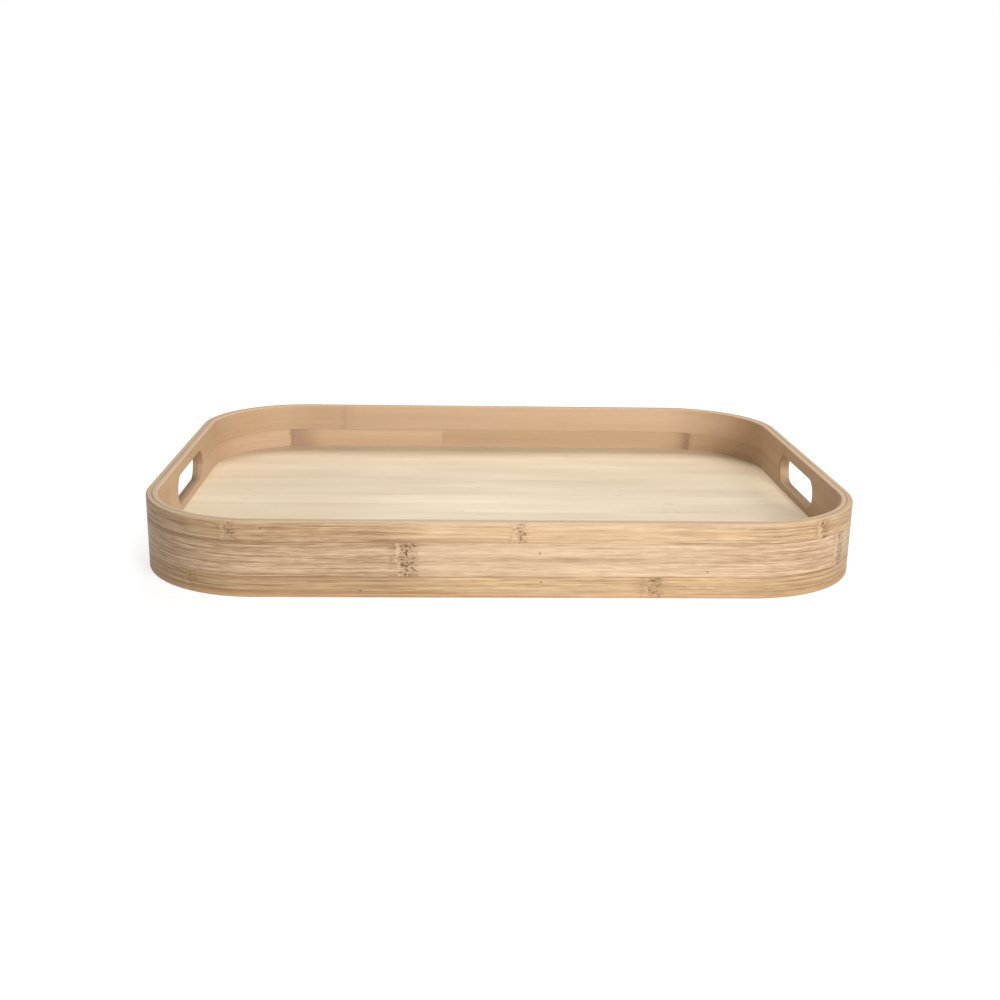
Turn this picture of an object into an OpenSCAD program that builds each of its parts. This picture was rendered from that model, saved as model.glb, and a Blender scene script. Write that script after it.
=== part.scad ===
// Bent bamboo serving tray: a two-ply wall of edge-glued strips around a floor of edge-glued slats.
// The origin is the middle of the face that the tray rests on; +X is the long side, +Z is up.

/* [Tray] */
// Length over the outer faces of the two short walls
tray_w = 400; // [300:1:560]
// Depth over the outer faces of the two long walls
tray_d = 302; // [220:1:420]
// Height of the wall
wall_h = 41.5; // [34:0.5:70]
// Outer radius of the four bent corners
corner_r = 68; // [30:1:100]

/* [Outer ply] */
// Thickness of the outer ply
outer_ply_t = 3.25; // [2:0.25:6]
// Height of the outer ply's bottom strip
outer_bottom_h = 11.7; // [6:0.1:14]
// Height of the outer ply's middle strip
outer_middle_h = 18.7; // [10:0.1:19]

/* [Inner ply] */
// Thickness of the inner ply
inner_ply_t = 3.25; // [2.5:0.25:6]
// Height of the inner ply's bottom strip, the ledge that the floor lies on
inner_bottom_h = 5; // [3:0.1:7]
// Height of the inner ply's middle strip
inner_middle_h = 18.7; // [12:0.1:22]

/* [Handle slots] */
// Length of each handle slot, round ends included
slot_l = 76; // [60:1:100]
// Height of each handle slot
slot_h = 18.5; // [12:0.5:22]
// Height of each slot's lower edge above the floor
slot_rise = 4.25; // [2:0.25:8]

/* [Floor] */
// Thickness of the floor slats
floor_t = 6; // [3:0.25:9]
// Number of slats across the floor
slat_count = 15; // [9:1:21]
// Depth of the groove that holds the floor's edge
groove_depth = 2; // [1:0.25:2]
// Gap between the floor's edge and the bottom of its groove
groove_gap = 0.25; // [0.1:0.05:0.5]

/* [Butt joints] */
// Distance of the side walls' butt joints from the tray's middle
side_joint_y = 62; // [45:1:80]
// Place along X of the inner middle strip's butt joints
inner_middle_joint_x = -35; // [-90:1:90]
// Place along X of the inner bottom strip's butt joints
inner_bottom_joint_x = 45; // [-90:1:90]

/* [Hidden] */
$fn = 96;
// Length by which a cutting shape runs past what it cuts
past = 1;

wall_t = outer_ply_t + inner_ply_t;
outer_top_z = outer_bottom_h + outer_middle_h;
inner_top_z = inner_bottom_h + inner_middle_h;
floor_top_z = inner_bottom_h + floor_t;

// The floor reaches into the groove up to the gap around its edge.
groove_inset = wall_t - groove_depth;
floor_inset = groove_inset + groove_gap;
slat_w = (tray_d - 2 * floor_inset) / slat_count;

outer_shade = "burlywood";
inner_shade = "tan";
floor_shade = "wheat";

// Place along Y of the glue line behind slat i
function slat_edge(i) = floor_inset - tray_d / 2 + i * slat_w;

function slat_name(i) = str("floor_slat_", i < 10 ? "0" : "", i);

// The tray's outline, moved in from the outer face by inset
module outline(inset) {
  r = max(corner_r - inset, past);
  half_w = tray_w / 2 - inset;
  half_d = tray_d / 2 - inset;
  square([2 * (half_w - r), 2 * half_d], center = true);
  square([2 * half_w, 2 * (half_d - r)], center = true);
  for (x = [-1, 1], y = [-1, 1])
    translate([x * (half_w - r), y * (half_d - r)]) circle(r);
}

// The halves of the plan view in front of, behind, left of and right of a cut
module in_front_of(y) {
  translate([-tray_w, y - 2 * tray_d]) square([2 * tray_w, 2 * tray_d]);
}

module behind(y) {
  translate([-tray_w, y]) square([2 * tray_w, 2 * tray_d]);
}

module left_of(x) {
  translate([x - 2 * tray_w, -tray_d]) square([2 * tray_w, 2 * tray_d]);
}

module right_of(x) {
  translate([x, -tray_d]) square([2 * tray_w, 2 * tray_d]);
}

// Both handle slots as one cutter that runs along X through the two short walls
module handle_slots() {
  r = slot_h / 2;
  translate([-tray_w, 0, floor_top_z + slot_rise + r])
    rotate([90, 0, 90])
      linear_extrude(2 * tray_w) {
        square([slot_l - slot_h, slot_h], center = true);
        for (side = [-1, 1])
          translate([side * (slot_l / 2 - r), 0]) circle(r);
      }
}

// One strip of a ply: the band between two insets, kept where the 2D child covers it
module strip(near, far, z, h) {
  difference() {
    translate([0, 0, z])
      linear_extrude(h)
        intersection() {
          difference() {
            outline(near);
            outline(far);
          }
          children();
        }
    handle_slots();
  }
}

module outer_strip(z, h) {
  color(outer_shade) strip(0, outer_ply_t, z, h) children();
}

module inner_strip(z, h) {
  color(inner_shade) strip(outer_ply_t, wall_t, z, h) children();
}

// The floor's groove, cut from the lower edge of the inner middle strip
module grooved() {
  color(inner_shade)
    difference() {
      children();
      translate([0, 0, inner_bottom_h - past])
        linear_extrude(floor_t + past) outline(groove_inset);
    }
}

module outer_bottom_strip_front() {
  outer_strip(0, outer_bottom_h) in_front_of(side_joint_y);
}

module outer_bottom_strip_back() {
  outer_strip(0, outer_bottom_h) behind(side_joint_y);
}

module outer_middle_strip_front() {
  outer_strip(outer_bottom_h, outer_middle_h) in_front_of(-side_joint_y);
}

module outer_middle_strip_back() {
  outer_strip(outer_bottom_h, outer_middle_h) behind(-side_joint_y);
}

module outer_top_strip_front() {
  outer_strip(outer_top_z, wall_h - outer_top_z) in_front_of(side_joint_y);
}

module outer_top_strip_back() {
  outer_strip(outer_top_z, wall_h - outer_top_z) behind(side_joint_y);
}

module inner_bottom_strip_left() {
  inner_strip(0, inner_bottom_h) left_of(inner_bottom_joint_x);
}

module inner_bottom_strip_right() {
  inner_strip(0, inner_bottom_h) right_of(inner_bottom_joint_x);
}

module inner_middle_strip_left() {
  grooved() inner_strip(inner_bottom_h, inner_middle_h) left_of(inner_middle_joint_x);
}

module inner_middle_strip_right() {
  grooved() inner_strip(inner_bottom_h, inner_middle_h) right_of(inner_middle_joint_x);
}

module inner_top_strip_front() {
  inner_strip(inner_top_z, wall_h - inner_top_z) in_front_of(-side_joint_y);
}

module inner_top_strip_back() {
  inner_strip(inner_top_z, wall_h - inner_top_z) behind(-side_joint_y);
}

// Slat i of the floor, counted from the front, trimmed to the rounded outline
module floor_slat(i) {
  front_y = slat_edge(i - 1);
  back_y = slat_edge(i);
  x = tray_w / 2;
  color(floor_shade)
    translate([0, 0, inner_bottom_h])
      linear_extrude(floor_t)
        intersection() {
          outline(floor_inset);
          polygon([[-x, front_y], [x, front_y], [x, back_y], [-x, back_y]]);
        }
}

outer_bottom_strip_front();
outer_bottom_strip_back();
outer_middle_strip_front();
outer_middle_strip_back();
outer_top_strip_front();
outer_top_strip_back();
inner_bottom_strip_left();
inner_bottom_strip_right();
inner_middle_strip_left();
inner_middle_strip_right();
inner_top_strip_front();
inner_top_strip_back();
for (i = [1 : slat_count])
  floor_slat(i);
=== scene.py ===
import math

import bmesh
import bpy
from mathutils import Matrix, Vector


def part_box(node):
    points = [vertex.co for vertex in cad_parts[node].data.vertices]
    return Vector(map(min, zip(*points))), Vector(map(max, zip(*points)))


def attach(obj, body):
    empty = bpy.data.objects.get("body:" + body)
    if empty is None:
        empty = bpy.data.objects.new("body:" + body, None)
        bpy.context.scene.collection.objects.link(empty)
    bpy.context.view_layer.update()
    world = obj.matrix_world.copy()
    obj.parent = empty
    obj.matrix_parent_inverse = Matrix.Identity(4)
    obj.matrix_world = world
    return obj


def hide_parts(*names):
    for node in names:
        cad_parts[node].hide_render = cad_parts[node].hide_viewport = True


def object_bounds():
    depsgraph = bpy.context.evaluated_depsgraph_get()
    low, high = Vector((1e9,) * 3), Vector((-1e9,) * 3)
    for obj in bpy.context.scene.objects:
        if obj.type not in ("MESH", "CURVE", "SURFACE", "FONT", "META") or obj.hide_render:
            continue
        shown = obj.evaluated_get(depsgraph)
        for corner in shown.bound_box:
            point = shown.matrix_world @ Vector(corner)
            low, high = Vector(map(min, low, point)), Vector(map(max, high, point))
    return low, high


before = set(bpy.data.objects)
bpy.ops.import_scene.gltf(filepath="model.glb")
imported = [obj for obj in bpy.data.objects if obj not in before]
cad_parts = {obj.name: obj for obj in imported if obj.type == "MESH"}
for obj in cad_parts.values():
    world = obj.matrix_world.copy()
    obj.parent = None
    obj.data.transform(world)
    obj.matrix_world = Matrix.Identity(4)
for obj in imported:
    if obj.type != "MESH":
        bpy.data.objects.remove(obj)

# ---------------------------------------------------------------- sizes, in metres

MM = 0.001

cad_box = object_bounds()
TRAY_W = cad_box[1][0] - cad_box[0][0]
TRAY_D = cad_box[1][1] - cad_box[0][1]
CORNER_R = 68 * MM
OUTER_PLY = 3.25 * MM
WALL_T = 6.5 * MM

front_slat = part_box("floor_slat_01")
FLOOR_HIGH = front_slat[1][2]
FLOOR_INSET = TRAY_D / 2 + front_slat[0][1]
GROOVE_INSET = 4.5 * MM

SLOT_L = 76 * MM
SLOT_H = 18.5 * MM
SLOT_RISE = 4.25 * MM
SLOT_LOW = FLOOR_HIGH + SLOT_RISE

# Easing radii of the edges, and half the hairline left at each butt joint
RIM_EASE = 1.0 * MM
BASE_EASE = 0.6 * MM
SEAM_EASE = 0.07 * MM
SLOT_EASE = 0.7 * MM
JOINT_GAP = 0.05 * MM

# The outer outline: half lengths of its straight legs, a bend and the way round
FLAT_X = TRAY_W / 2 - CORNER_R
FLAT_Y = TRAY_D / 2 - CORNER_R
QUARTER = CORNER_R * math.pi / 2
LEGS = (2 * FLAT_X, 2 * FLAT_Y, 2 * FLAT_X, 2 * FLAT_Y)
PERIMETER = sum(LEGS) + 4 * QUARTER


# ---------------------------------------------------------------- the wall's outline

def outline_point(s):
    """Point and outward normal of the outer outline, at arc length s from the front's middle towards +X."""
    t = (s + FLAT_X) % PERIMETER
    corner = Vector((-FLAT_X, -TRAY_D / 2))
    for leg, length in enumerate(LEGS):
        angle = leg * math.pi / 2
        along = Vector((math.cos(angle), math.sin(angle)))
        normal = Vector((math.sin(angle), -math.cos(angle)))
        if t <= length:
            return corner + along * t, normal
        t -= length
        centre = corner + along * length - normal * CORNER_R
        if t <= QUARTER:
            turned = Matrix.Rotation(t / CORNER_R, 2) @ normal
            return centre + turned * CORNER_R, turned
        t -= QUARTER
        corner = centre + along * CORNER_R
    return corner, Vector((0, -1))


def grain_place(x, y, near):
    """Arc length (the turn of it nearest to near) and inset from the outer face of a point in plan."""
    sx, sy = math.copysign(1, x), math.copysign(1, y)
    dx, dy = abs(x) - FLAT_X, abs(y) - FLAT_Y
    if dx > 0 and dy > 0:
        turned = math.atan2(dx, dy)
        run = FLAT_X + turned * CORNER_R
        inset = CORNER_R - math.hypot(dx, dy)
    elif dx > dy:
        run = FLAT_X + QUARTER + FLAT_Y - abs(y)
        inset = TRAY_W / 2 - abs(x)
    else:
        run = abs(x)
        inset = TRAY_D / 2 - abs(y)
    s = sx * run if sy < 0 else PERIMETER / 2 - sx * run
    s += PERIMETER * round((near - s) / PERIMETER)
    return s, inset


def stations(start, end):
    """Arc lengths from start to end, closer together round the corners than along the flats."""
    flat_step, bend_step = 8 * MM, 3.3 * MM
    nothing = 0.01 * MM
    breaks = []
    edge = -FLAT_X - PERIMETER
    while edge < end:
        for length in LEGS:
            breaks.append((edge, edge + length, flat_step))
            breaks.append((edge + length, edge + length + QUARTER, bend_step))
            edge += length + QUARTER
    found = []
    for low, high, step in breaks:
        low, high = max(low, start), min(high, end)
        if high - low < nothing:
            continue
        count = max(1, math.ceil((high - low) / step))
        found += [low + (high - low) * k / count for k in range(count)]
    return found + [end]


def side_s(y):
    """Arc length at y on the right wall."""
    return FLAT_X + QUARTER + FLAT_Y + y


# ---------------------------------------------------------------- meshes

def new_piece(name, mesh):
    piece = bpy.data.objects.new(name, mesh)
    bpy.context.scene.collection.objects.link(piece)
    return piece


def eased(corners, steps=5):
    """A closed profile with each (inset, z, radius) corner rounded, or just bevelled at a seam."""
    points = []
    count = len(corners)
    for k, (i, z, radius) in enumerate(corners):
        here = Vector((i, z))
        if radius == 0:
            points.append(here)
            continue
        back = (Vector(corners[k - 1][:2]) - here).normalized()
        ahead = (Vector(corners[(k + 1) % count][:2]) - here).normalized()
        centre = here + (back + ahead) * radius
        turns = 1 if radius <= SEAM_EASE else steps
        for j in range(turns + 1):
            a = math.pi / 2 * j / turns
            points.append(centre - ahead * radius * math.cos(a) - back * radius * math.sin(a))
    return points


def swept(name, profile, start, end):
    """The profile swept along the outline, as a closed mesh."""
    bm = bmesh.new()
    rings = []
    for s in stations(start + JOINT_GAP, end - JOINT_GAP):
        point, normal = outline_point(s)
        ring = []
        for inset, z in profile:
            x, y = point - normal * inset
            ring.append(bm.verts.new((x, y, z)))
        rings.append(ring)
    count = len(profile)
    for a, b in zip(rings, rings[1:]):
        for k in range(count):
            bm.faces.new((a[k], b[k], b[(k + 1) % count], a[(k + 1) % count]))
    bm.faces.new(rings[0])
    bm.faces.new(reversed(rings[-1]))
    bmesh.ops.recalc_face_normals(bm, faces=bm.faces)
    mesh = bpy.data.meshes.new(name)
    bm.to_mesh(mesh)
    bm.free()
    return new_piece(name, mesh)


def stadium(grow, count=20):
    """Plan of a handle slot grown by grow, as (y, z) points."""
    radius = SLOT_H / 2 + grow
    reach = (SLOT_L - SLOT_H) / 2
    middle = SLOT_LOW + SLOT_H / 2
    points = []
    for side in (1, -1):
        for k in range(count + 1):
            a = math.pi * (k / count - 0.5)
            points.append((side * (reach + radius * math.cos(a)), middle + side * radius * math.sin(a)))
    return points


def slot_cutter(side):
    """A plug with the shape of one handle slot, flared where it leaves both faces of the wall."""
    turns = 6
    outer, inner = TRAY_W / 2, TRAY_W / 2 - WALL_T
    bell = []
    for k in range(turns + 1):
        a = math.pi / 2 * k / turns
        bell.append((SLOT_EASE * (1 - math.sin(a)), SLOT_EASE * (1 - math.cos(a))))
    hair, past = 0.02 * MM, 3 * MM
    path = [(outer + past, SLOT_EASE + hair)]
    path += [(outer - depth + hair, grow + hair) for grow, depth in bell]
    path += [(inner + depth - hair, grow + hair) for grow, depth in reversed(bell)]
    path.append((inner - past, SLOT_EASE + hair))
    bm = bmesh.new()
    rings = [[bm.verts.new((side * x, y, z)) for y, z in stadium(grow)] for x, grow in path]
    for a, b in zip(rings, rings[1:]):
        for k in range(len(a)):
            n = (k + 1) % len(a)
            bm.faces.new((a[k], b[k], b[n], a[n]))
    bm.faces.new(rings[0])
    bm.faces.new(reversed(rings[-1]))
    bmesh.ops.recalc_face_normals(bm, faces=bm.faces)
    mesh = bpy.data.meshes.new("slot_cutter")
    bm.to_mesh(mesh)
    bm.free()
    return new_piece("slot_cutter", mesh)


def cut_slots(piece):
    """Cuts both handle slots out of a strip, where they meet it."""
    cutters = [slot_cutter(side) for side in (-1, 1)]
    for cutter in cutters:
        cut = piece.modifiers.new("slot", "BOOLEAN")
        cut.object = cutter
        cut.operation = "DIFFERENCE"
        cut.solver = "EXACT"
    graph = bpy.context.evaluated_depsgraph_get()
    mesh = bpy.data.meshes.new_from_object(piece.evaluated_get(graph))
    piece.modifiers.clear()
    plain, piece.data = piece.data, mesh
    mesh.name = piece.name
    bpy.data.meshes.remove(plain)
    for cutter in cutters:
        bpy.data.meshes.remove(cutter.data)


def finish_shading(piece):
    """Smooth shading that keeps flat faces flat and real edges crisp."""
    sharp_from = math.radians(50)
    mesh = piece.data
    mesh.shade_smooth()
    mesh.set_sharp_from_angle(angle=sharp_from)
    weigh = piece.modifiers.new("weigh", "WEIGHTED_NORMAL")
    weigh.keep_sharp = True


def write_grain(piece, place):
    """Stores each point's place in the wood: along the fibres, across them and into the wood."""
    mesh = piece.data
    layer = mesh.attributes.new("grain", "FLOAT_VECTOR", "POINT")
    for vertex, value in zip(mesh.vertices, layer.data):
        value.vector = place(vertex.co)


def fold_map(piece, span, heights, band_of, flat):
    """A UV map for baking: bands of faces one above the other, folded into rows, so that long grain
    gets more pixels.

    band_of(centre, normal) gives a face's band. flat(band, place) gives a point's place along the band and
    up it, and whether the band runs across the strip.
    """
    mesh = piece.data
    start, end = span
    gap, overhang, most_rows = 1 * MM, 5 * MM, 8
    bottoms = [sum(heights[:k]) + gap * k for k in range(len(heights) + 1)]
    pitch = bottoms[-1]
    rows = min(range(1, most_rows + 1), key=lambda n: max((end - start) / n, n * pitch))
    length = (end - start) / rows
    grain = [Vector(item.vector) for item in mesh.attributes["grain"].data]
    layer = mesh.uv_layers.new(name="OFBake")
    for face in mesh.polygons:
        centre = sum((grain[v] for v in face.vertices), Vector()) / len(face.vertices)
        band = band_of(centre, face.normal)
        row = min(max(int((centre.x - start) / length), 0), rows - 1)
        for loop, vertex in zip(face.loop_indices, face.vertices):
            along, up, crosswise = flat(band, grain[vertex])
            u = along + overhang if crosswise else along - start - row * length + overhang
            v = row * pitch + bottoms[band] + gap / 2 + up
            layer.uv[loop].vector = (u / (length + 2 * overhang), v / (rows * pitch))


def fold_strip(piece, span, low, high, near, cut):
    """The bake's map of a wall strip: its outer and inner face, its edges above and below, and its ends.

    The faces cut by a handle slot have bands of their own, in the same order as the edges and the ends.
    """
    tall, thick = high - low, OUTER_PLY
    heights = [tall, tall] + [thick] * (8 if cut else 4)
    reach = SLOT_H / 2 + SLOT_EASE + 0.1 * MM

    def band_of(centre, normal):
        s, z, _ = centre
        point, outward = outline_point(s)
        run = max(abs(point.y) - (SLOT_L - SLOT_H) / 2, 0)
        in_slot = cut and math.hypot(run, z - SLOT_LOW - SLOT_H / 2) < reach
        out = normal.x * outward.x + normal.y * outward.y
        along = normal.y * outward.x - normal.x * outward.y
        band = max((out, 0), (-out, 1), (normal.z, 2), (-normal.z, 3), (along, 4), (-along, 5))[1]
        return band + 4 if in_slot and band > 1 else band

    def flat(band, place):
        s, z, inset = place
        if band < 2:
            return s, z - low, False
        if band in (2, 3, 6, 7):
            return s, inset - near, False
        return z - low, inset - near, True

    fold_map(piece, span, heights, band_of, flat)


def fold_slat(piece, low, high):
    """The bake's map of a floor slat, which is first cut across, so that each row of it ends at a cut."""
    lengths = 6
    bm = bmesh.new()
    bm.from_mesh(piece.data)
    for k in range(1, lengths):
        whole = bm.verts[:] + bm.edges[:] + bm.faces[:]
        middle = (k - lengths / 2) * TRAY_W / lengths
        bmesh.ops.bisect_plane(bm, geom=whole, plane_co=(middle, 0, 0), plane_no=(1, 0, 0))
    bm.to_mesh(piece.data)
    bm.free()
    wide, thick = high[1] - low[1], high[2] - low[2]

    def band_of(_, normal):
        sides = ((normal.z, 0), (-normal.z, 1), (normal.y, 2), (-normal.y, 3), (normal.x, 4), (-normal.x, 5))
        return max(sides)[1]

    def flat(band, place):
        x, y, depth = place
        if band < 2:
            return x, y - low[1], False
        if band < 4:
            return x, depth, False
        return y - low[1], depth, True

    fold_map(piece, (low[0], high[0]), [wide, wide] + [thick] * 4, band_of, flat)


def wall_strip(name, start, end, eases):
    """One strip of a ply, between two arc lengths. The inner middle strip has the floor's groove."""
    inner = name.startswith("inner")
    low, high = (corner[2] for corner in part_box(name))
    near, far = (OUTER_PLY, WALL_T) if inner else (0, OUTER_PLY)
    a, b, c, d = eases
    corners = [(near, low, a), (near, high, b), (far, high, c)]
    if name.startswith("inner_middle"):
        corners += [(far, FLOOR_HIGH, 0), (GROOVE_INSET, FLOOR_HIGH, 0), (GROOVE_INSET, low, 0)]
    else:
        corners.append((far, low, d))
    piece = swept(name + "_wood", eased(corners), start, end)
    if high > SLOT_LOW:
        cut_slots(piece)
    middle = (start + end) / 2

    def place(co):
        s, inset = grain_place(co.x, co.y, middle)
        return s, co.z, inset

    write_grain(piece, place)
    fold_strip(piece, (start, end), low, high, near, high > SLOT_LOW)
    finish_shading(piece)
    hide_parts(name)
    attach(piece, "root")
    return piece


def slat_outline(low, high):
    """Plan of a slat between two y values, trimmed by the floor's rounded outline, anticlockwise."""
    half_w, half_d = TRAY_W / 2 - FLOOR_INSET, TRAY_D / 2 - FLOOR_INSET
    radius = CORNER_R - FLOOR_INSET

    def reach(y):
        over = abs(y) - (half_d - radius)
        if over <= 0:
            return half_w
        return half_w - radius + math.sqrt(max(radius * radius - over * over, 0))

    count = 14
    right = [Vector((reach(y), y)) for y in (low + (high - low) * k / count for k in range(count + 1))]
    left = [Vector((-p.x, p.y)) for p in reversed(right)]
    return right + left


def shrunk(points, by):
    """A convex anticlockwise outline moved inwards."""
    count = len(points)
    moved = []
    for k, p in enumerate(points):
        a = (p - points[k - 1]).normalized()
        b = (points[(k + 1) % count] - p).normalized()
        na, nb = Vector((-a.y, a.x)), Vector((-b.y, b.x))
        moved.append(p + (na + nb) * by / (1 + na.dot(nb)))
    return moved


def floor_slat(index):
    """One slat of the floor, with the edges of both faces eased."""
    name = f"floor_slat_{index:02d}"
    low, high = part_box(name)
    hair, ease = 0.01 * MM, SEAM_EASE
    plan = slat_outline(low[1] + hair, high[1] - hair)
    inside = shrunk(plan, ease)
    levels = [(inside, low[2]), (plan, low[2] + ease), (plan, high[2] - ease), (inside, high[2])]
    bm = bmesh.new()
    rings = [[bm.verts.new((p.x, p.y, z)) for p in points] for points, z in levels]
    for a, b in zip(rings, rings[1:]):
        for k in range(len(a)):
            n = (k + 1) % len(a)
            bm.faces.new((a[k], a[n], b[n], b[k]))
    bm.faces.new(reversed(rings[0]))
    bm.faces.new(rings[-1])
    bmesh.ops.recalc_face_normals(bm, faces=bm.faces)
    mesh = bpy.data.meshes.new(name)
    bm.to_mesh(mesh)
    bm.free()
    piece = new_piece(name + "_wood", mesh)
    write_grain(piece, lambda co: (co.x, co.y, high[2] - co.z))
    fold_slat(piece, low, high)
    finish_shading(piece)
    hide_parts(name)
    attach(piece, "root")
    return piece


# ---------------------------------------------------------------- materials

class Graph:
    """Adds nodes to a material, so that its texture reads like a formula."""

    def __init__(self, material):
        material.use_nodes = True
        self.tree = material.node_tree
        self.tree.nodes.clear()

    def add(self, kind, inputs=(), **settings):
        node = self.tree.nodes.new(kind)
        for key, value in settings.items():
            setattr(node, key, value)
        for key, value in dict(inputs).items():
            self.feed(node.inputs[key], value)
        return node

    def feed(self, socket, value):
        if isinstance(value, bpy.types.NodeSocket):
            self.tree.links.new(value, socket)
        else:
            socket.default_value = value

    def math(self, operation, a, b=0.0, clamp=False):
        node = self.add("ShaderNodeMath", {0: a, 1: b}, operation=operation, use_clamp=clamp)
        return node.outputs[0]

    def plus(self, a, b):
        return self.math("ADD", a, b)

    def minus(self, a, b):
        return self.math("SUBTRACT", a, b)

    def times(self, a, b, clamp=False):
        return self.math("MULTIPLY", a, b, clamp)

    def most(self, a, b):
        return self.math("MAXIMUM", a, b)

    def apart(self, a, b):
        return self.math("ABSOLUTE", self.minus(a, b))

    def length(self, a, b):
        return self.math("SQRT", self.plus(self.times(a, a), self.times(b, b)))

    def scaled(self, vector, factors):
        node = self.add("ShaderNodeVectorMath", {0: vector, 1: factors}, operation="MULTIPLY")
        return node.outputs[0]

    def noise(self, vector, factors, detail=2.0, roughness=0.5):
        node = self.add(
            "ShaderNodeTexNoise",
            {"Vector": self.scaled(vector, factors), "Scale": 1.0, "Detail": detail, "Roughness": roughness},
        )
        return node.outputs["Fac"]

    def remap(self, value, low, high, to_low=0.0, to_high=1.0, smooth=True):
        node = self.add(
            "ShaderNodeMapRange",
            {"Value": value, "From Min": low, "From Max": high, "To Min": to_low, "To Max": to_high},
            interpolation_type="SMOOTHSTEP" if smooth else "LINEAR",
        )
        return node.outputs["Result"]

    def mix(self, factor, a, b):
        node = self.add("ShaderNodeMix", data_type="RGBA", blend_type="MIX")
        self.feed(node.inputs["Factor"], factor)
        self.feed(node.inputs[6], a)
        self.feed(node.inputs[7], b)
        return node.outputs[2]

    def finish(self, shader, kind="ShaderNodeOutputMaterial"):
        self.tree.links.new(shader.outputs[0], self.add(kind).inputs["Surface"])


def bamboo(name, look, seed, knuckles=(), stretches=(), pins=(), edges=None, rim=None, slots=False):
    """Bamboo with its fibres along the first axis of the grain. Its textures are in mm and per mm.

    knuckles holds (place, half width, strength, trail) and stretches (place, half width, strength), in mm
    along the strip; pins holds its pinholes, along and across; edges holds the across-grain places of its
    two glue lines, and rim that of its sanded top. slots is true where a handle slot cuts through it.
    """
    material = bpy.data.materials.new(name)
    g = Graph(material)
    grain = g.add("ShaderNodeAttribute", attribute_name="grain").outputs["Vector"]
    place = g.scaled(grain, (1 / MM,) * 3)
    along, across, depth = g.add("ShaderNodeSeparateXYZ", {0: place}).outputs
    knots = knuckle_masks(g, place, along, knuckles)
    marks = knuckle_marks(g, place, look, knots)
    fibres = swaying_fibres(g, place, knots["band"], seed)
    wood = wood_textures(g, fibres, look)
    dark = dark_mask(g, along, look, stretches)

    colour = wood_colour(g, fibres, look, wood, dark)
    colour = knuckle_colour(g, look, knots, marks, colour)
    for pin in pins:
        colour = g.mix(pinhole_mask(g, along, across, *pin), colour, UMBER)
    if edges:
        # The glue lines along its edges
        colour = g.mix(glue_mask(g, fibres, across, look, knots["band"], edges), colour, look["deep"])
    if look["foot"]:
        # Browner towards the base
        colour = g.mix(g.remap(across, 0.5, 4.5, look["foot"], 0.0), colour, look["warm"])
    if rim:
        # Paler where the rim was sanded
        sanded = g.remap(across, rim / MM - 0.9, rim / MM - 0.1, 0.0, 0.75)
        colour = g.mix(sanded, colour, look["pale"])
    if look["ply"]:
        colour = g.mix(ply_mask(g, fibres, depth, look), colour, look["deep"])
    # Painted shade on the handle slots' cut faces, darker towards their top
    if slots:
        colour = g.mix(slot_shade_mask(g), colour, look["deep"])
    lacquer(g, look, colour, wood, knots["band"], marks)
    return material


def swaying_fibres(g, place, band, seed):
    """The place in the wood, with the fibres bent a little, and more beside a knuckle."""
    sway = g.times(g.noise(place, (0.007, 0.03, 0.03), 0.0), 1.1)
    knot = g.times(g.times(band, g.noise(place, (0.12, 0.4, 0.4), 1.0)), 0.8)
    shift = g.add("ShaderNodeCombineXYZ", {0: seed * 37.0, 1: g.plus(sway, knot), 2: seed * 5.3})
    return g.add("ShaderNodeVectorMath", {0: place, 1: shift.outputs[0]}, operation="ADD").outputs[0]


def wood_textures(g, fibres, look):
    """Broad bands, streaks of three lengths, and masks of dark bundles and of single dark fibres."""

    def stretched(along, across, detail, roughness=0.5):
        thin = across / look["width"]
        return g.noise(fibres, (along, thin, thin), detail, roughness)

    return {
        "broad": stretched(look["run"], 0.13, 1.0),
        "long": stretched(0.006, 0.75, 3.0, 0.6),
        "short": stretched(0.042, 0.85, 2.0, 0.6),
        "fine": stretched(0.14, 1.6, 1.0),
        "bundle": g.remap(stretched(0.024, 1.0, 2.0, 0.6), 0.56, 0.70),
        "hair": g.remap(stretched(0.020, 1.7, 1.0), 0.57, 0.65),
    }


def dark_mask(g, along, look, stretches):
    """Mask of the bends, browner where the bamboo was heated and with painted shade where they turn away from
    the lamps, and of darker stretches along the strip.
    """
    wall_middle_to_next = PERIMETER / 4 / MM
    wall_middle_to_bend = (FLAT_X + QUARTER / 2) / MM
    from_bend = g.apart(g.math("PINGPONG", along, wall_middle_to_next), wall_middle_to_bend)
    # Browner round the bends where heated, and painted shade where they turn away from the lamps
    dark = g.remap(from_bend, 25.0, 95.0, look["bends"], 0.0)
    for centre, half_width, strength in stretches:
        stretch = g.remap(g.apart(along, centre), half_width * 0.5, half_width, strength, 0.0)
        dark = g.most(dark, stretch)
    return dark


def wood_colour(g, fibres, look, wood, dark):
    """The wood's colour before its marks. Dark places are also more streaked."""
    streaks = g.minus(wood["long"], 0.5)
    for texture in ("short", "fine"):
        streaks = g.plus(streaks, g.times(g.minus(wood[texture], 0.5), look[texture]))
    streaky = g.plus(g.times(dark, look["streaky"]), 1.0)
    tone = g.times(g.minus(wood["broad"], 0.5), look["bands"])
    tone = g.plus(tone, g.times(g.times(streaks, look["fibre"]), streaky))
    colour = g.mix(g.remap(tone, -0.5, 0.5, smooth=False), look["tan"], look["pale"])

    blush = g.remap(g.noise(fibres, (0.012, 0.5, 0.5)), 0.42, 0.66)
    colour = g.mix(g.times(blush, look["blush"]), colour, look["warm"])
    # Darker round the bends, partly painted shade, and along the darker stretches
    colour = g.mix(dark, colour, look["tan"])
    strong = g.times(streaky, look["bundles"])
    for fibre in ("bundle", "hair"):
        colour = g.mix(g.times(wood[fibre], strong, clamp=True), colour, look["deep"])

    fleck = g.remap(g.noise(fibres, (0.05, 0.5, 0.5), 1.0), 0.725, 0.80)
    return g.mix(g.times(fleck, look["flecks"]), colour, look["deep"])


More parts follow.
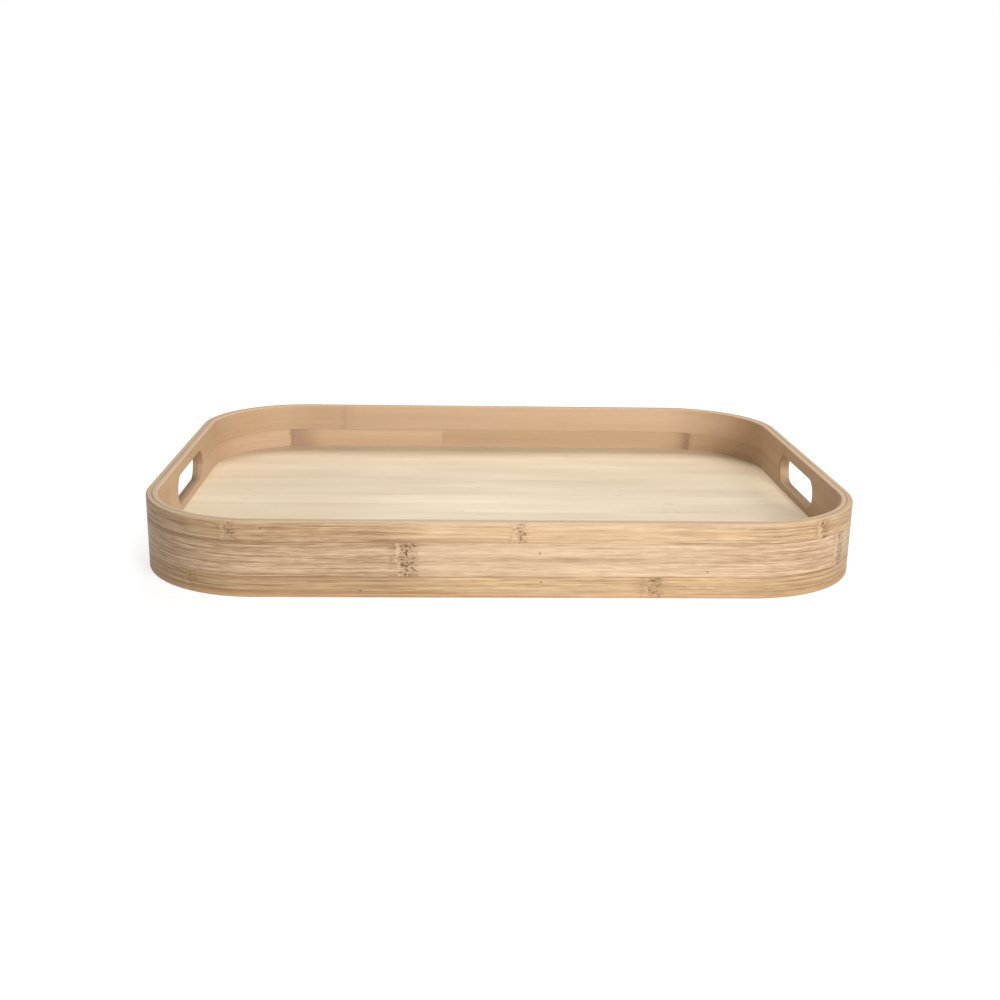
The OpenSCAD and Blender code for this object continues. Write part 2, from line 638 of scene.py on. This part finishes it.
def knuckle_masks(g, place, along, knuckles):
    """Masks of a strip's knuckles: the band, where its marks go, its scar and the stain trailing off it."""
    raggedness = 9.0
    ragged = g.noise(place, (0.16, 0.30, 0.30), 3.0)
    here = g.plus(along, g.times(g.minus(ragged, 0.5), raggedness))
    masks = {"band": 0.0, "marks": 0.0, "scar": 0.0, "trail": 0.0}

    def gather(name, value):
        masks[name] = value if masks[name] == 0.0 else g.most(masks[name], value)

    for centre, half_width, strength, trail in knuckles:
        off = g.minus(here, centre)
        band = g.remap(g.math("ABSOLUTE", off), half_width * 0.35, half_width, strength, 0.0)
        side = g.remap(off, -0.25 * half_width, 0.15 * half_width, 0.4, 1.0)
        from_scar = g.math("ABSOLUTE", g.plus(off, 0.22 * half_width))
        gather("band", band)
        gather("marks", g.times(band, side))
        gather("scar", g.remap(from_scar, 0.4, 1.6, strength, 0.0))
        if trail:
            run = g.times(g.minus(along, centre), 1.0 / trail)
            fading = g.remap(run, 0.1, 1.0, 0.5 * strength, 0.0)
            gather("trail", g.times(fading, g.remap(run, -0.06, 0.0)))
    return masks


def knuckle_marks(g, place, look, knots):
    """Mask of the short dark marks that pepper a knuckle, fewer towards its sides."""
    fewer = g.times(g.minus(1.0, knots["band"]), 0.07)
    specks = g.remap(g.minus(g.noise(place, (0.50, 0.75, 0.75), 2.0, 0.7), fewer), 0.50, 0.60)
    return g.times(g.times(knots["marks"], specks), look["specks"])


def knuckle_colour(g, look, knots, marks, colour):
    """Adds each knuckle's stain, its brown ground, the pale line of its scar and its marks."""
    colour = g.mix(knots["trail"], colour, look["deep"])
    colour = g.mix(g.times(knots["marks"], look["knot"]), colour, look["deep"])
    colour = g.mix(g.times(knots["scar"], look["scar"]), colour, look["pale"])
    return g.mix(marks, colour, UMBER)


def pinhole_mask(g, along, across, hole_along, hole_across):
    off = g.length(g.minus(along, hole_along), g.minus(across, hole_across))
    return g.remap(off, 0.3, 0.6, 1.0, 0.0)


def glue_mask(g, fibres, across, look, band, edges):
    """Mask of the glue lines along a strip's edges, patchy except across a knuckle."""
    low, high = (edge / MM for edge in edges)
    inwards = g.math("MINIMUM", g.minus(across, low), g.minus(high, across))
    glue = g.remap(inwards, 0.1, look["glue_width"], 1.0, 0.0)
    patchy = g.remap(g.noise(fibres, (0.018, 0.05, 0.05)), 0.42, 0.62, 0.1, 1.0)
    return g.times(g.times(glue, g.most(patchy, band)), look["glue"])


def ply_mask(g, fibres, depth, look):
    """Mask of the glue line between the two plies, weaker here and there."""
    line = g.remap(g.apart(depth, OUTER_PLY / MM), 0.15, 0.6, look["ply"], 0.0)
    return g.times(line, g.remap(g.noise(fibres, (0.012, 0.02, 0.02)), 0.40, 0.60, 0.35, 1.0))


def slot_shade_mask(g):
    """Mask of painted shade on the handle slots' cut faces, least on the bottom face, which looks up to the
    lamps.
    """
    _, y, z = g.add("ShaderNodeSeparateXYZ", {0: g.add("ShaderNodeTexCoord").outputs["Object"]}).outputs
    radius = SLOT_H / 2
    run = g.most(g.minus(g.math("ABSOLUTE", y), SLOT_L / 2 - radius), 0.0)
    rise = g.minus(z, SLOT_LOW + radius)
    cut = g.remap(g.length(run, rise), radius + 0.2 * MM, radius + 1.2 * MM, 1.0, 0.0)
    return g.times(cut, g.remap(rise, -radius, radius / 2, 0.15, 0.7))


def lacquer(g, look, colour, wood, band, marks):
    """The finish: roughness and relief follow the fibres and the knuckles."""
    rough = g.plus(g.times(wood["short"], 0.2), g.times(wood["bundle"], 0.12))
    rough = g.plus(rough, look["rough"])
    height = g.plus(g.times(wood["short"], 0.5), g.times(wood["fine"], 0.35))
    for mask, rise in ((wood["bundle"], -0.4), (marks, -0.9), (band, 0.6)):
        height = g.plus(height, g.times(mask, rise))
    bump = g.add("ShaderNodeBump", {"Strength": look["bump"], "Distance": 0.2 * MM, "Height": height})
    shader = g.add(
        "ShaderNodeBsdfPrincipled",
        {"Base Color": colour, "Roughness": rough, "Normal": bump.outputs[0]},
    )
    shader.inputs["IOR"].default_value = 1.46
    shader.inputs["Specular IOR Level"].default_value = 0.35
    g.finish(shader)


def wear(piece, material):
    piece.data.materials.clear()
    piece.data.materials.append(material)


def grey(value):
    return (value, value, value, 1.0)


# ---------------------------------------------------------------- the tray's looks

UMBER = (0.12, 0.055, 0.024, 1.0)

# Colours, then how strong each feature is. Of the rest, run is the bands' frequency along the grain,
# streaky how much the fibres gain in dark places, width the fibres' width, and glue_width is in mm.
OUTER_LOOK = {
    "pale": (0.73, 0.545, 0.355, 1.0), "tan": (0.30, 0.177, 0.090, 1.0),
    "warm": (0.54, 0.315, 0.165, 1.0), "deep": (0.20, 0.11, 0.05, 1.0),
    "bands": 0.9, "run": 0.004, "fibre": 0.53, "streaky": 4.3, "short": 0.9, "fine": 0.9,
    "width": 1.0, "blush": 0.35, "bundles": 0.26, "bends": 0.40, "flecks": 0.2,
    "knot": 0.28, "specks": 1.0, "scar": 0.3,
    "glue": 0.6, "glue_width": 0.7, "ply": 0.05, "foot": 0.0, "rough": 0.42, "bump": 0.35,
}
INNER_LOOK = {
    "pale": (0.66, 0.47, 0.315, 1.0), "tan": (0.46, 0.30, 0.17, 1.0),
    "warm": (0.57, 0.36, 0.205, 1.0), "deep": (0.22, 0.12, 0.06, 1.0),
    "bands": 1.2, "run": 0.004, "fibre": 0.22, "streaky": 2.0, "short": 0.6, "fine": 0.8,
    "width": 1.6, "blush": 0.3, "bundles": 0.05, "bends": 0.1, "flecks": 0.0,
    "knot": 0.3, "specks": 0.3, "scar": 0.0,
    "glue": 0.2, "glue_width": 0.6, "ply": 0.05, "foot": 0.0, "rough": 0.40, "bump": 0.2,
}
FLOOR_LOOK = {
    "pale": (0.94, 0.82, 0.595, 1.0), "tan": (0.66, 0.515, 0.34, 1.0),
    "warm": (0.83, 0.61, 0.43, 1.0), "deep": (0.42, 0.23, 0.15, 1.0),
    "bands": 1.15, "run": 0.009, "fibre": 0.12, "streaky": 0.0, "short": 0.9, "fine": 0.8,
    "width": 3.8, "blush": 0.25, "bundles": 0.03, "bends": 0.0, "flecks": 0.6,
    "knot": 0.1, "specks": 0.8, "scar": 0.0,
    "glue": 0.12, "glue_width": 0.6, "ply": 0.0, "foot": 0.0, "rough": 0.38, "bump": 0.15,
}

# What sets some kinds of strip apart. Along the rim, the line between the plies shows.
RIM_PLY = 0.78
KIND_LOOKS = {
    "outer_bottom": {
        "foot": 0.45, "fibre": 1.6, "streaky": 1.1, "short": 0.5, "fine": 0.4, "bundles": 0.45,
    },
    "outer_middle": {"blush": 0.08},
    "outer_top": {"ply": RIM_PLY},
    "inner_top": {"ply": RIM_PLY},
}


def toned(look, shade, warmth=0.0):
    """A look made lighter or darker, and warmer where warmth is positive."""
    made = dict(look)
    for key in ("pale", "tan", "warm"):
        r, g, b, a = look[key]
        made[key] = (r * shade * (1 + warmth * 0.3), g * shade, b * shade * (1 - warmth), a)
    return made


# ---------------------------------------------------------------- the tray

# How far off a strip's free edge is put, so that it shows no glue line
NO_GLUE = 9 * MM

SIDE_JOINT = 62 * MM
INNER_MIDDLE_JOINT = -35 * MM
INNER_BOTTOM_JOINT = 45 * MM

# Easing of a strip's outer low, outer high, inner high and inner low edge
EASES = {
    "outer_bottom": (BASE_EASE, SEAM_EASE, SEAM_EASE, SEAM_EASE),
    "outer_middle": (SEAM_EASE, SEAM_EASE, SEAM_EASE, SEAM_EASE),
    "outer_top": (SEAM_EASE, RIM_EASE, SEAM_EASE, SEAM_EASE),
    "inner_bottom": (SEAM_EASE, SEAM_EASE, SEAM_EASE, BASE_EASE),
    "inner_middle": (SEAM_EASE, SEAM_EASE, SEAM_EASE, SEAM_EASE),
    "inner_top": (SEAM_EASE, SEAM_EASE, RIM_EASE, SEAM_EASE),
}


def front_span(y):
    return -side_s(y), side_s(y)


def back_span(y):
    return side_s(y), PERIMETER - side_s(y)


def left_span(x):
    return -PERIMETER / 2 - x, x


def right_span(x):
    return x, PERIMETER / 2 - x


def wall_strips():
    """Each strip's name, span, shade, warmth, knuckles, darker stretches and pinholes, as in bamboo."""
    return [
        ("outer_bottom_strip_front", front_span(SIDE_JOINT), 0.79, 0.12,
         [(76, 9, 0.9, 0), (-170, 7, 0.4, 0), (-330, 8, 0.8, 0), (310, 8, 0.7, 0)],
         [(-105, 95, 0.42)], [(-77, 4), (18, 9)]),
        ("outer_bottom_strip_back", back_span(SIDE_JOINT), 0.82, 0.08,
         [(470, 8, 0.7, 0), (720, 8, 0.8, 0), (860, 7, 0.7, 0)],
         [(640, 80, 0.2)], [(585, 5)]),
        ("outer_middle_strip_front", front_span(-SIDE_JOINT), 0.985, -0.03,
         [(-55, 11, 1.0, 0), (188, 9, 0.9, 0), (-232, 9, 0.7, 0)],
         [(-108, 75, 0.36), (140, 70, 0.12)], [(17, 25), (106, 15)]),
        ("outer_middle_strip_back", back_span(-SIDE_JOINT), 0.94, 0.0,
         [(420, 9, 0.9, 0), (650, 10, 0.9, 0), (905, 9, 0.8, 0)],
         [(720, 70, 0.25)], [(560, 18), (742, 27)]),
        ("outer_top_strip_front", front_span(SIDE_JOINT), 0.90, 0.05,
         [(5, 6, 0.9, 0), (-146, 7, 0.8, 0), (171, 8, 0.9, 0), (-290, 7, 0.7, 0), (330, 7, 0.6, 0)],
         [(-108, 75, 0.42), (125, 50, 0.2)], [(-128, 38)]),
        ("outer_top_strip_back", back_span(SIDE_JOINT), 0.90, 0.04,
         [(500, 8, 0.8, 0), (690, 7, 0.6, 0), (840, 8, 0.8, 0)],
         [(600, 80, 0.2)], [(655, 36)]),
        ("inner_bottom_strip_left", left_span(INNER_BOTTOM_JOINT), 0.95, 0.0,
         [(-120, 7, 0.6, 0), (-400, 7, 0.6, 0)], [], []),
        ("inner_bottom_strip_right", right_span(INNER_BOTTOM_JOINT), 0.97, 0.0,
         [(200, 7, 0.6, 0), (470, 7, 0.6, 0)], [], []),
        ("inner_middle_strip_left", left_span(INNER_MIDDLE_JOINT), 1.02, 0.0,
         [(-495, 3, 1.0, -28), (-150, 8, 0.6, 12)], [], []),
        ("inner_middle_strip_right", right_span(INNER_MIDDLE_JOINT), 0.93, 0.03,
         [(490, 6, 0.8, 14), (150, 8, 0.6, 12), (20, 7, 0.6, 12)], [], []),
        ("inner_top_strip_front", front_span(-SIDE_JOINT), 1.0, 0.0,
         [(60, 7, 0.6, 0), (-180, 7, 0.6, 0)], [], []),
        ("inner_top_strip_back", back_span(-SIDE_JOINT), 1.0, 0.0,
         [(750, 6, 0.4, 0), (350, 7, 0.4, 0), (960, 7, 0.4, 0)], [(800, 60, 0.2)], []),
    ]


def build_wall():
    for seed, (name, span, shade, warmth, knuckles, stretches, pins) in enumerate(wall_strips(), start=1):
        kind = name.split("_strip")[0]
        low, high = (corner[2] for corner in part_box(name))
        piece = wall_strip(name, *span, EASES[kind])
        look = toned(INNER_LOOK if kind.startswith("inner") else OUTER_LOOK, shade, warmth)
        look.update(KIND_LOOKS.get(kind, {}))
        at_base, at_rim = kind.endswith("bottom"), kind.endswith("top")
        edges = (low - at_base * NO_GLUE, high + at_rim * NO_GLUE)
        rim = high if at_rim else None
        wear(piece, bamboo(name, look, seed, knuckles, stretches, pins, edges, rim, high > SLOT_LOW))


def build_floor():
    # The slats' shades, from the front to the back: tone that differs at random, plus painted light that
    # lifts the slats near the front where the front wall casts its shadow; the last few are also warmer, a
    # painted reflection of the back wall
    shades = (1.05, 1.04, 1.045, 1.03, 1.04, 1.035, 1.045, 1.03, 1.0, 1.01, 0.985, 1.0, 0.98, 0.985, 0.965)
    painted_reflection_from, painted_reflection_blush = 10, 0.13
    darker_left_end = (-170, 110, 0.16)
    for index, shade in enumerate(shades, start=1):
        piece = floor_slat(index)
        low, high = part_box(f"floor_slat_{index:02d}")
        look = toned(FLOOR_LOOK, shade)
        # Painted reflection of the back wall: the last slats grow warmer
        look["blush"] += painted_reflection_blush * max(0, index - painted_reflection_from)
        # Two faint knuckles a slat, at places that vary from slat to slat
        first = -160 + (index * 83) % 150
        knuckles = [(first, 6, 0.13, 0), (first + 165, 6, 0.1, 0)]
        edges = (low[1], high[1])
        wear(piece, bamboo(f"floor_{index:02d}", look, index * 3.7, knuckles, [darker_left_end], edges=edges))


# ---------------------------------------------------------------- stage, light and camera

STAGE_R = 1.0
# The stage's glow and colour, and the distances between which it fades into the background
STAGE_GLOW = 0.72
STAGE_GREY = 0.45
STAGE_FADE = (0.32, 0.95)
# How far the stage lies under the tray's base, so that the two don't share a plane
STAGE_DROP = 0.2 * MM

# The background's strength as a light
SOFT_LIGHT = 0.2

LAMP_CIRCLE = 1.3
LAMP_SIZE = 0.6
LAMP_TARGET = Vector((0, 0, 0.02))
# Azimuth, height in degrees and power in watts; azimuth 0 is in front and 90 on the right
LAMPS = {"key": (30, 22, 14.4), "front": (0, 22, 3.0), "back": (180, 50, 10.1)}

# The camera's place, its yaw, pitch and roll in degrees, and its lens in mm on a sensor this wide
CAMERA_PLACE = (-0.03326, -0.76241, 0.22887)
CAMERA_TURN = (2.692, 15.952, 1.113)
CAMERA_LENS, CAMERA_SENSOR = 44.4, 36.0


def area_light(name, azimuth, height, power):
    """A square lamp on the lamp circle, aimed at the tray."""
    light = bpy.data.lights.new(name, "AREA")
    light.shape = "RECTANGLE"
    light.size, light.size_y = LAMP_SIZE, LAMP_SIZE
    light.energy = power
    lamp = bpy.data.objects.new(name, light)
    bpy.context.scene.collection.objects.link(lamp)
    a, h = math.radians(azimuth), math.radians(height)
    lamp.location = Vector((math.sin(a) * math.cos(h), -math.cos(a) * math.cos(h), math.sin(h))) * LAMP_CIRCLE
    lamp.rotation_euler = (LAMP_TARGET - lamp.location).to_track_quat("-Z", "Y").to_euler()


def build_stage():
    bm = bmesh.new()
    bmesh.ops.create_circle(bm, cap_ends=True, segments=96, radius=STAGE_R)
    mesh = bpy.data.meshes.new("studio_floor")
    bm.to_mesh(mesh)
    bm.free()
    floor = new_piece("studio_floor", mesh)
    floor.location.z = -STAGE_DROP
    material = bpy.data.materials.new("studio_floor")
    g = Graph(material)
    # Clear from below, so that the tray's underside can be seen
    below = g.add("ShaderNodeNewGeometry").outputs["Backfacing"]
    place = g.add("ShaderNodeTexCoord").outputs["Object"]
    away = g.add("ShaderNodeVectorMath", {0: place}, operation="LENGTH").outputs["Value"]
    fade = g.most(g.remap(away, *STAGE_FADE), below)
    sheet = g.add("ShaderNodeBsdfDiffuse", {"Color": grey(STAGE_GREY)})
    glow = g.add("ShaderNodeEmission", {"Color": grey(1.0), "Strength": STAGE_GLOW})
    lit = g.add("ShaderNodeAddShader", {0: sheet.outputs[0], 1: glow.outputs[0]})
    clear = g.add("ShaderNodeBsdfTransparent")
    g.finish(g.add("ShaderNodeMixShader", {0: fade, 1: lit.outputs[0], 2: clear.outputs[0]}))
    wear(floor, material)


def build_light():
    """A white background, which lights the tray only softly, and the lamps."""
    world = bpy.data.worlds.new("studio")
    bpy.context.scene.world = world
    g = Graph(world)
    seen = g.add("ShaderNodeBackground", {"Color": grey(1.0), "Strength": 1.0})
    soft = g.add("ShaderNodeBackground", {"Color": grey(1.0), "Strength": SOFT_LIGHT})
    direct = g.add("ShaderNodeLightPath").outputs["Is Camera Ray"]
    mixed = g.add("ShaderNodeMixShader", {0: direct, 1: soft.outputs[0], 2: seen.outputs[0]})
    g.finish(mixed, "ShaderNodeOutputWorld")
    for name, lamp in LAMPS.items():
        area_light(name, *lamp)


def build_camera():
    data = bpy.data.cameras.new("camera")
    data.sensor_width = CAMERA_SENSOR
    data.lens = CAMERA_LENS
    data.clip_start = 0.01
    camera = bpy.data.objects.new("camera", data)
    bpy.context.scene.collection.objects.link(camera)
    yaw, pitch, roll = (math.radians(a) for a in CAMERA_TURN)
    turn = Matrix.Rotation(-yaw, 3, "Z") @ Matrix.Rotation(math.pi / 2 - pitch, 3, "X")
    turn = turn @ Matrix.Rotation(roll, 3, "Z")
    camera.location = CAMERA_PLACE
    camera.rotation_euler = turn.to_euler()
    bpy.context.scene.camera = camera


def set_colour_management():
    view = bpy.context.scene.view_settings
    view.view_transform = "Standard"
    view.look = "None"
    view.exposure = 0.0
    view.gamma = 1.0


build_camera()
build_stage()
build_light()
set_colour_management()
build_wall()
build_floor()
